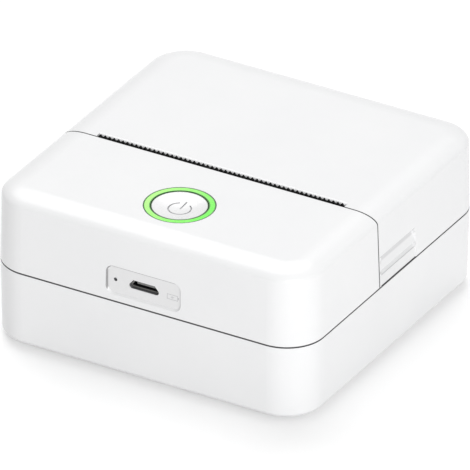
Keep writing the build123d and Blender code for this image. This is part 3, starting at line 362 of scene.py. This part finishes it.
def light_guide():
    """Green light guide: brighter on the left than on the right, with painted shade darkening its inner and
    outer edge.
    """
    shade = Shade("light_guide")
    x, y, _ = shade.axes()
    radius = from_button(shade, x, y)[1]
    across = shade.span(x, -RING_OUT, RING_OUT)
    glow = shade.mix(across, (0.37, 0.94, 0.18), (0.085, 0.74, 0.03))
    middle = (RING_IN + RING_OUT) / 2
    half = (RING_OUT - RING_IN) / 2
    off = shade.math("ABSOLUTE", shade.minus(radius, middle))
    edge = shade.span(off, half - 0.36, half - 0.16)
    cloud = shade.noise(0.7, 3.0)
    # painted shade at the ring's inner and outer edge, in the gaps to the cap and the shell
    lit = shade.mix(edge, glow, (0.006, 0.07, 0.006))
    lit = shade.mix(shade.span(cloud, 0.3, 0.7, 0.0, 0.12), lit, (0.5, 1.0, 0.3))
    shade.colour(lit)
    shade.link(lit, shade.bsdf.inputs["Emission Color"])
    shade.bsdf.inputs["Emission Strength"].default_value = 0.28
    shade.rough(shade.span(shade.noise(1.2, 3.0), 0.3, 0.7, 0.2, 0.34))
    shade.bump(shade.noise(5.0, 2.0), 0.003)
    return shade.material


def black_bar():
    shade = moulded("black_bar", (0.006, 0.006, 0.0065), (0.003, 0.003, 0.0032), 0.6, 0.09, 0.006)
    shade.set(specular_ior_level=0.25)
    return shade.material


def acetal(name, tone, dark):
    """Gear and bush plastic: waxy, with faint flow lines."""
    shade = Shade(name)
    flow = shade.noise(0.5, 3.0, stretch=(1.0, 0.35, 0.35))
    shade.colour(shade.mix(shade.span(flow, 0.35, 0.65), dark, tone))
    shade.rough(shade.span(shade.noise(1.0, 3.0), 0.3, 0.7, 0.32, 0.46))
    shade.bump(shade.noise(7.0, 2.0), 0.003)
    shade.set(subsurface_weight=0.06, subsurface_scale=0.0006)
    return shade.material


def clear_pipe():
    shade = Shade("clear_pipe")
    cloud = shade.noise(1.4, 2.0)
    shade.colour(shade.mix(cloud, (0.3, 0.31, 0.32), (0.4, 0.41, 0.42)))
    shade.rough(shade.span(cloud, 0.3, 0.7, 0.12, 0.22))
    shade.bump(shade.noise(6.0, 2.0), 0.002)
    shade.set(transmission_weight=0.45, ior=1.49)
    return shade.material


def lamp():
    """A small lamp: pale resin over a yellow dot."""
    shade = Shade("lamp")
    dots = shade.cells(0.9)
    shade.colour(shade.mix(shade.span(dots, 0.2, 0.35), (0.85, 0.7, 0.15), (0.82, 0.82, 0.76)))
    shade.rough(shade.span(shade.noise(2.0, 2.0), 0.3, 0.7, 0.14, 0.26))
    shade.bump(shade.noise(8.0, 2.0), 0.002)
    return shade.material


# Metals

def metal(name, tone, dark, rough, stretch, per_mm, depth=0.0015, spread=0.08):
    """Worked metal: streaks along one way, a little tarnish, and sheen that follows the streaks."""
    shade = Shade(name)
    shade.set(metallic=1.0)
    streak = shade.noise(per_mm, 3.0, stretch=stretch)
    tarnish = shade.noise(0.5, 3.0)
    shade.colour(shade.mix(shade.span(tarnish, 0.3, 0.7), dark, tone))
    shade.rough(shade.span(streak, 0.3, 0.7, rough - spread, rough + spread))
    shade.bump(streak, depth)
    return shade.material


def port_metal():
    """The port's plated shell: bright at its mouth, painted black inside as the hole's shade, round a black
    tongue.
    """
    shade = Shade("steel_plated")
    y = shade.axes()[1]
    tarnish = shade.noise(0.5, 3.0)
    plate = shade.mix(shade.span(tarnish, 0.3, 0.7), (0.2, 0.195, 0.19), (0.28, 0.275, 0.265))
    # painted shade: near black deeper inside, but for a thin band that keeps about the plate's grey
    inside = shade.span(y, -41.14, -41.0)
    edge = shade.within(y, -40.87, -40.8, 0.02)
    dark = shade.mix(edge, (0.012, 0.012, 0.013), (0.2, 0.2, 0.2))
    shade.colour(shade.mix(inside, plate, dark))
    streak = shade.noise(5.0, 3.0, stretch=ALONG_X)
    shade.rough(shade.span(streak, 0.3, 0.7, 0.3, 0.42))
    shade.bump(streak, 0.0015)
    shade.set(metallic=0.6, specular_ior_level=0.2)
    return shade.material


# Rubber, film, boards

def rubber(name, tone, dark, rough, per_mm, depth):
    shade = Shade(name)
    dust = shade.noise(0.8, 4.0)
    shade.colour(shade.mix(shade.span(dust, 0.4, 0.75), dark, tone))
    shade.rough(shade.span(dust, 0.3, 0.7, rough - 0.06, rough + 0.06))
    shade.bump(shade.noise(per_mm, 2.0), depth)
    return shade.material


def ceramic():
    """Glazed head strip with the thin dark heating line along it."""
    shade = Shade("ceramic")
    z = shade.axes()[2]
    glaze = shade.noise(0.9, 3.0)
    body = shade.mix(shade.span(glaze, 0.35, 0.65), (0.60, 0.57, 0.49), (0.68, 0.65, 0.58))
    line = shade.span(shade.math("ABSOLUTE", shade.minus(z, PLATEN_Z)), 0.12, 0.2, 1.0, 0.0)
    shade.colour(shade.mix(line, body, (0.05, 0.045, 0.04)))
    shade.rough(shade.span(glaze, 0.3, 0.7, 0.1, 0.18))
    shade.bump(shade.noise(3.0, 2.0), 0.002)
    return shade.material


def flex_film():
    """Polyimide film with copper tracks under it."""
    shade = Shade("flex_film")
    tracks = shade.span(shade.bands(1.6, "X"), 0.45, 0.6)
    haze = shade.noise(0.8, 3.0)
    film = shade.mix(shade.span(haze, 0.3, 0.7), (0.36, 0.13, 0.02), (0.44, 0.18, 0.03))
    shade.colour(shade.mix(tracks, film, (0.58, 0.27, 0.07)))
    shade.rough(shade.span(haze, 0.3, 0.7, 0.2, 0.32))
    shade.bump(tracks, 0.01)
    return shade.material


def board():
    """Green solder mask over tracks, with rows of tinned dots."""
    shade = Shade("board")
    lanes = shade.most(shade.span(shade.bands(0.9, "X", 6.0), 0.72, 0.8),
                       shade.span(shade.bands(0.7, "Y", 7.0), 0.78, 0.86))
    dots = shade.span(shade.cells(0.55), 0.12, 0.16, 1.0, 0.0)
    some = shade.span(shade.noise(0.12, 1.0), 0.5, 0.52)
    pads = shade.both(dots, some)
    mask = shade.mix(lanes, (0.006, 0.085, 0.028), (0.012, 0.16, 0.05))
    shade.colour(shade.mix(pads, mask, (0.62, 0.6, 0.55)))
    shade.rough(shade.span(shade.noise(1.0, 3.0), 0.3, 0.7, 0.2, 0.34))
    shade.bump(shade.most(lanes, pads), 0.02)
    return shade.material


def cell_wrap():
    """Crinkled foil pouch, painted darker in the hollows of its creases and lighter on their crests, as shade
    and light.
    """
    shade = Shade("cell_wrap")
    creases = shade.noise(0.35, 5.0)
    # painted shade and light: the colour follows the crease relief, darker in its hollows
    shade.colour(shade.mix(shade.span(creases, 0.3, 0.7), (0.52, 0.54, 0.57), (0.68, 0.7, 0.72)))
    shade.rough(shade.span(creases, 0.3, 0.7, 0.26, 0.42))
    shade.bump(creases, 0.12)
    shade.set(metallic=0.75)
    return shade.material


def print_ink():
    """Grey print, a little worn."""
    shade = Shade("print_ink")
    worn = shade.noise(1.5, 4.0)
    shade.colour(shade.mix(shade.span(worn, 0.35, 0.7), (0.53, 0.53, 0.54), (0.62, 0.62, 0.63)))
    shade.rough(shade.span(worn, 0.3, 0.7, 0.45, 0.6))
    shade.bump(shade.noise(6.0, 2.0), 0.002)
    return shade.material


def plain(name, *look):
    """Moulded plastic with nothing painted on it."""
    return moulded(name, *look).material


MATERIALS = {
    "white_shell": white_shell,
    "button_cap": button_cap,
    "light_guide": light_guide,
    "black_bar": black_bar,
    "steel": lambda: metal("steel", (0.56, 0.56, 0.57), (0.48, 0.48, 0.49), 0.26, ALONG_X, 8.0),
    "screw_steel": lambda: metal("screw_steel", (0.46, 0.47, 0.49), (0.34, 0.35, 0.37), 0.34, ALONG_Z, 9.0),
    "steel_plated": port_metal,
    "zinc_steel": lambda: metal("zinc_steel", (0.54, 0.56, 0.58), (0.42, 0.44, 0.46), 0.33, ALONG_X, 4.0),
    "spring_steel": lambda: metal("spring_steel", (0.5, 0.5, 0.5), (0.4, 0.4, 0.41), 0.25, ALONG_X, 7.0),
    "bush": lambda: acetal("bush", (0.76, 0.75, 0.69), (0.7, 0.69, 0.62)),
    "gear_plastic": lambda: acetal("gear_plastic", (0.78, 0.78, 0.73), (0.72, 0.71, 0.65)),
    "brass": lambda: metal("brass", (0.72, 0.5, 0.18), (0.55, 0.36, 0.12), 0.27, ALONG_X, 6.0),
    "roller_rubber": lambda: rubber("roller_rubber", (0.032, 0.032, 0.034), (0.02, 0.02, 0.021), 0.62, 9.0,
                                    0.012),
    "black_plastic": lambda: plain("black_plastic", (0.03, 0.03, 0.032), (0.02, 0.02, 0.021), 0.46, 0.12,
                                   0.01),
    "aluminium": lambda: metal("aluminium", (0.72, 0.73, 0.74), (0.63, 0.64, 0.65), 0.3, ALONG_X, 6.0),
    "ceramic": ceramic,
    "flex_film": flex_film,
    "socket_plastic": lambda: plain("socket_plastic", (0.66, 0.62, 0.5), (0.6, 0.56, 0.44), 0.42, 0.1, 0.006),
    "grey_plastic": lambda: plain("grey_plastic", (0.46, 0.465, 0.475), (0.42, 0.425, 0.435), 0.42, 0.18,
                                  0.01),
    "board": board,
    "plunger": lambda: plain("plunger", (0.52, 0.4, 0.05), (0.45, 0.34, 0.04), 0.4, 0.1, 0.004),
    "lamp": lamp,
    "clear_pipe": clear_pipe,
    "chip": lambda: plain("chip", (0.022, 0.022, 0.024), (0.014, 0.014, 0.015), 0.42, 0.07, 0.006),
    "cell_wrap": cell_wrap,
    "foot_rubber": lambda: rubber("foot_rubber", (0.1, 0.1, 0.104), (0.07, 0.07, 0.073), 0.7, 5.0, 0.02),
}


def dress_nodes():
    """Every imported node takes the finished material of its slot."""
    made = {name: build() for name, build in MATERIALS.items()}
    for part in frame["record"]["subparts"]:
        for place in nodes[part["node"]].material_slots:
            place.material = made[part["material_slot"]]


# Printed marks

def surface_y(x, z):
    """How far forward the front casing's face lies at x, z, in millimetres."""
    mesh = nodes["front_casing"].data
    tree = BVHTree.FromPolygons([v.co for v in mesh.vertices], [p.vertices for p in mesh.polygons])
    hit = tree.ray_cast(Vector((x * MM, -0.06, z * MM)), Vector((0, 1, 0)))[0]
    return hit.y / MM


def flat_outline(name, loops, y, thickness, body, material):
    """A thin printed mark on the front: each loop of x, z points becomes a plate just proud of the face."""
    mesh = bmesh.new()
    for loop in loops:
        front = [mesh.verts.new((x * MM, (y - thickness) * MM, z * MM)) for x, z in loop]
        back = [mesh.verts.new((x * MM, (y + thickness) * MM, z * MM)) for x, z in loop]
        count = len(loop)
        mesh.faces.new(front)
        mesh.faces.new(back[::-1])
        for i in range(count):
            mesh.faces.new((front[i], back[i], back[(i + 1) % count], front[(i + 1) % count]))
    bmesh.ops.recalc_face_normals(mesh, faces=mesh.faces)
    data = bpy.data.meshes.new(name)
    mesh.to_mesh(data)
    mesh.free()
    data.materials.append(material)
    piece = bpy.data.objects.new(name, data)
    bpy.context.scene.collection.objects.link(piece)
    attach(piece, body)
    return piece


def bar(x0, x1, z0, z1):
    return [(x0, z0), (x1, z0), (x1, z1), (x0, z1)]


def charge_pictogram():
    """A small battery outline right of the port, in grey print."""
    half_w, half_h = BADGE_HALF
    line = BADGE_LINE
    x, z = BADGE_X, BADGE_Z
    loops = [
        bar(x - half_w, x + half_w, z + half_h - line, z + half_h),
        bar(x - half_w, x + half_w, z - half_h, z - half_h + line),
        bar(x - half_w, x - half_w + line, z - half_h + line, z + half_h - line),
        bar(x + half_w - line, x + half_w, z - half_h + line, z + half_h - line),
        bar(x + half_w, x + half_w + 0.3, z - 0.3, z + 0.3),
        [(x - 0.55, z - 0.1), (x + 0.05, z - 0.1), (x - 0.25, z - 0.5), (x + 0.55, z + 0.1),
         (x - 0.05, z + 0.1), (x + 0.25, z + 0.5)],
    ]
    face = surface_y(x, z)
    return flat_outline("charge_pictogram", loops, face, 0.01, "housing", print_ink())


# Floor, lamps and camera

def floor():
    """A plain white floor. For the light that it throws back it is a little darker than it looks."""
    bpy.ops.mesh.primitive_plane_add(size=6.0, location=(0, 0, 0))
    plane = bpy.context.object
    plane.name = "floor"
    shade = Shade("floor")
    light_path = shade.node("ShaderNodeLightPath")
    seen = shade.most(light_path.outputs["Is Camera Ray"], light_path.outputs["Is Glossy Ray"])
    seen = shade.most(seen, light_path.outputs["Is Transmission Ray"])
    shade.colour(shade.mix(seen, (FLOOR_BOUNCE,) * 3, WHITE[:3]))
    shade.bsdf.inputs["Emission Color"].default_value = WHITE
    shade.bsdf.inputs["Emission Strength"].default_value = FLOOR_GLOW
    shade.rough(0.9)
    shade.set(specular_ior_level=0.0)
    plane.data.materials.append(shade.material)


def world():
    """Even light from all round, and plain white where the camera sees past the floor."""
    made = bpy.data.worlds.new("studio")
    bpy.context.scene.world = made
    made.use_nodes = True
    tree = made.node_tree
    even = tree.nodes["Background"]
    even.inputs["Color"].default_value = WHITE
    even.inputs["Strength"].default_value = WORLD_LEVEL
    white = tree.nodes.new("ShaderNodeBackground")
    white.inputs["Color"].default_value = WHITE
    white.inputs["Strength"].default_value = 1.0
    light_path = tree.nodes.new("ShaderNodeLightPath")
    seen = light_path.outputs["Is Camera Ray"]
    for name in ("Is Glossy Ray", "Is Transmission Ray"):
        most = tree.nodes.new("ShaderNodeMath")
        most.operation = "MAXIMUM"
        tree.links.new(seen, most.inputs[0])
        tree.links.new(light_path.outputs[name], most.inputs[1])
        seen = most.outputs[0]
    blend = tree.nodes.new("ShaderNodeMixShader")
    tree.links.new(seen, blend.inputs[0])
    tree.links.new(even.outputs[0], blend.inputs[1])
    tree.links.new(white.outputs[0], blend.inputs[2])
    tree.links.new(blend.outputs[0], tree.nodes["World Output"].inputs["Surface"])


def towards(azimuth, elevation):
    """A unit step from the part. The azimuth counts from the front towards the right, both in degrees."""
    a, e = math.radians(azimuth), math.radians(elevation)
    return Vector((math.sin(a) * math.cos(e), -math.cos(a) * math.cos(e), math.sin(e)))


def lamps():
    for name, azimuth, elevation, distance, size, watts in LAMPS:
        away = towards(azimuth, elevation)
        data = bpy.data.lights.new(name, "AREA")
        data.shape = "DISK"
        data.size = size
        data.energy = watts
        lamp_object = bpy.data.objects.new(name, data)
        lamp_object.location = away * distance
        lamp_object.rotation_euler = (-away).to_track_quat("-Z", "Y").to_euler()
        bpy.context.scene.collection.objects.link(lamp_object)


def camera():
    """The photograph's view: a long lens from the front right, above."""
    a, roll = math.radians(VIEW_AZIMUTH), math.radians(VIEW_ROLL)
    back = towards(VIEW_AZIMUTH, VIEW_ELEVATION)
    flat_right = Vector((math.cos(a), math.sin(a), 0.0))
    flat_up = back.cross(flat_right)
    right = flat_right * math.cos(roll) + flat_up * math.sin(roll)
    up = flat_up * math.cos(roll) - flat_right * math.sin(roll)
    target = Vector((0, 0, VIEW_HEIGHT * MM)) - right * VIEW_SHIFT[0] * MM - up * VIEW_SHIFT[1] * MM
    data = bpy.data.cameras.new("camera")
    data.sensor_width = 36.0
    data.lens = LENS
    data.clip_start = 0.05
    data.clip_end = 50.0
    made = bpy.data.objects.new("camera", data)
    made.location = target + back * VIEW_DISTANCE
    turn = [[right[i], up[i], back[i]] for i in range(3)]
    made.rotation_mode = "QUATERNION"
    made.rotation_quaternion = Matrix(turn).to_quaternion()
    bpy.context.scene.collection.objects.link(made)
    bpy.context.scene.camera = made


dress_nodes()
charge_pictogram()
floor()
world()
lamps()
camera()
bpy.context.scene.view_settings.view_transform = "Standard"
